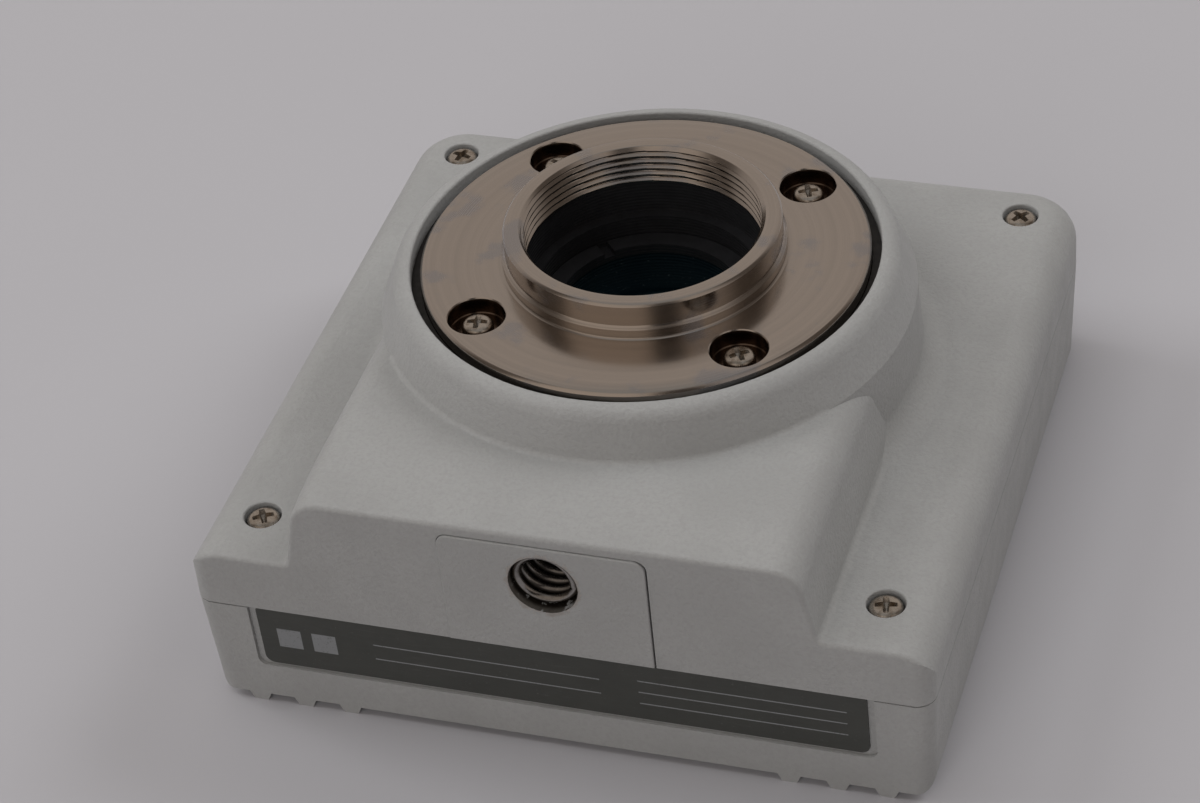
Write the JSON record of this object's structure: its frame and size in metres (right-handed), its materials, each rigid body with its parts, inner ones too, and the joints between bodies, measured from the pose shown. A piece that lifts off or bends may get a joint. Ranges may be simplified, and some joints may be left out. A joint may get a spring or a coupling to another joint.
{
  "type": "c-mount digital camera head",
  "caption": "Light grey square camera head with a steel C-mount lens collar on a round boss, a tripod pad, corner screws, a label recess and a rear data connector.",
  "frame": {"origin": "on the optical axis, at the height of the rib tips on the back that the case rests on", "axes": "+Z along the optical axis, out of the lens thread; -Y is the face with the tripod pad and label; +Y is the connector face; X runs across the case"},
  "size_m": [0.077, 0.0774, 0.039],
  "materials": {
    "shell_paint": "fine textured powder coat, light warm grey",
    "mount_steel": "turned stainless steel, satin",
    "screw_nickel": "nickel plated",
    "insert_steel": "drawn stainless wire",
    "black_rubber": "matte black",
    "black_anodised": "matte black anodised",
    "filter_glass": "coated glass with a teal sheen",
    "sensor_glass": "clear polished",
    "sensor_silicon": "polished silicon with a dark green cast",
    "package_ceramic": "fired dark alumina",
    "gold_contact": "gold plated",
    "board_laminate": "green solder mask over glass laminate",
    "chip_plastic": "matte black moulding compound",
    "tinned_metal": "tinned sheet",
    "capacitor_can": "bright drawn can",
    "pad_silicone": "soft grey-blue gap pad",
    "label_film": "printed dark grey film, semi matte",
    "connector_metal": "nickel plated pressed steel",
    "connector_plastic": "black glass-filled polyester"
  },
  "bodies": {
    "root": {"front_shell": "shell_paint", "rear_cover": "shell_paint", "tripod_block": "shell_paint", "lens_mount_flange": "mount_steel", "flange_gap_ring": "black_rubber", "flange_screws": "screw_nickel", "case_screws": "screw_nickel", "tripod_block_screws": "screw_nickel", "tripod_insert": "insert_steel", "label_plate": "label_film", "light_baffle": "black_anodised", "filter_retainer": "black_anodised", "filter_seal": "black_rubber", "ir_cut_filter": "filter_glass", "sensor_dust_gasket": "black_rubber", "sensor_cover_glass": "sensor_glass", "sensor_package": "package_ceramic", "sensor_die": "sensor_silicon", "sensor_pins": "gold_contact", "sensor_board": "board_laminate", "sensor_standoffs": "screw_nickel", "sensor_board_screws": "screw_nickel", "sensor_readout_chips": "chip_plastic", "sensor_board_header": "connector_plastic", "main_board_socket": "connector_plastic", "main_board": "board_laminate", "main_board_screws": "screw_nickel", "processor_chip": "chip_plastic", "thermal_pad": "pad_silicone", "memory_chips": "chip_plastic", "shield_can": "tinned_metal", "power_inductors": "chip_plastic", "filter_capacitors": "capacitor_can", "clock_crystal": "tinned_metal", "connector_shell": "connector_metal", "connector_insulator": "connector_plastic", "connector_contacts": "gold_contact", "jack_posts": "screw_nickel", "jack_post_nuts": "screw_nickel"}
  },
  "joints": []
}
